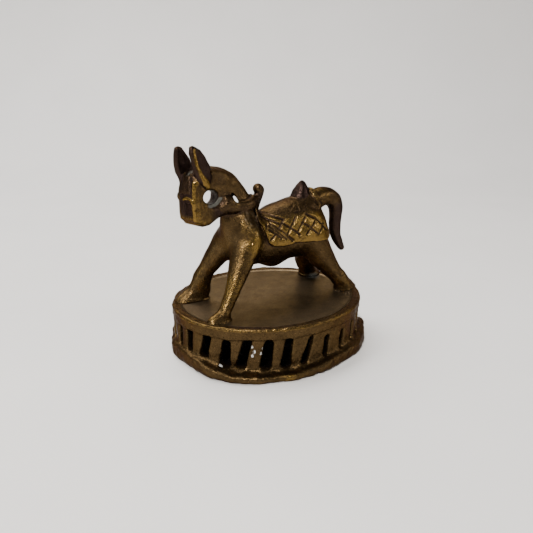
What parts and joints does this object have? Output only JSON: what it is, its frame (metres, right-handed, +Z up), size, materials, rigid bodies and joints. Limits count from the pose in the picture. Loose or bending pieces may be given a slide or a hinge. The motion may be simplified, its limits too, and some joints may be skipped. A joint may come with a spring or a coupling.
{
  "type": "bronze horse statue",
  "caption": "Small cast bronze horse with saddle, bridle and curled tail, standing on an oval drum base with an openwork wall.",
  "frame": {"origin": "middle of the underside of the drum base, where it rests on a table", "axes": "+X from the horse's head to its tail, along the long way of the oval base; +Y to the horse's right side; +Z up"},
  "size_m": [0.0872, 0.0772, 0.0835],
  "materials": {
    "bronze": "aged brown cast bronze, satin",
    "worn_bronze": "bronze worn golden on its high points, semi-gloss",
    "dark_bronze": "dark purple-brown patina, satin",
    "plate_bronze": "grey-brown brushed bronze, satin"
  },
  "bodies": {
    "root": {"base_floor_plate": "bronze", "base_foot_ring": "bronze", "base_rim_band": "worn_bronze", "base_top_plate": "plate_bronze", "base_post_01": "bronze", "base_post_02": "bronze", "base_post_03": "bronze", "base_post_04": "bronze", "base_post_05": "bronze", "base_post_06": "bronze", "base_post_07": "bronze", "base_post_08": "bronze", "base_post_09": "bronze", "base_post_10": "bronze", "base_post_11": "bronze", "base_post_12": "bronze", "base_post_13": "bronze", "base_post_14": "bronze", "base_post_15": "bronze", "base_post_16": "bronze", "base_post_17": "bronze", "base_post_18": "bronze", "base_post_19": "bronze", "base_post_20": "bronze", "base_post_21": "bronze", "base_post_22": "bronze", "base_post_23": "bronze", "base_post_24": "bronze", "base_post_25": "bronze", "base_post_26": "bronze", "base_post_27": "bronze", "base_post_28": "bronze", "base_post_29": "bronze", "base_post_30": "bronze", "horse_torso": "bronze", "horse_neck": "bronze", "horse_head": "bronze", "rein_left": "bronze", "rein_right": "bronze", "foreleg_left": "worn_bronze", "foreleg_right": "worn_bronze", "hindleg_left": "worn_bronze", "hindleg_right": "worn_bronze", "saddle_cloth": "worn_bronze", "crupper_strap": "worn_bronze", "bridle_noseband": "worn_bronze", "bridle_browband": "worn_bronze", "bridle_cheek_left": "worn_bronze", "bridle_cheek_right": "worn_bronze", "ear_left": "dark_bronze", "ear_right": "dark_bronze", "horse_tail": "dark_bronze", "saddle_cantle": "dark_bronze", "saddle_pommel": "dark_bronze", "girth_tab_left": "dark_bronze", "girth_tab_right": "dark_bronze", "bit_boss_right": "dark_bronze"}
  },
  "joints": []
}
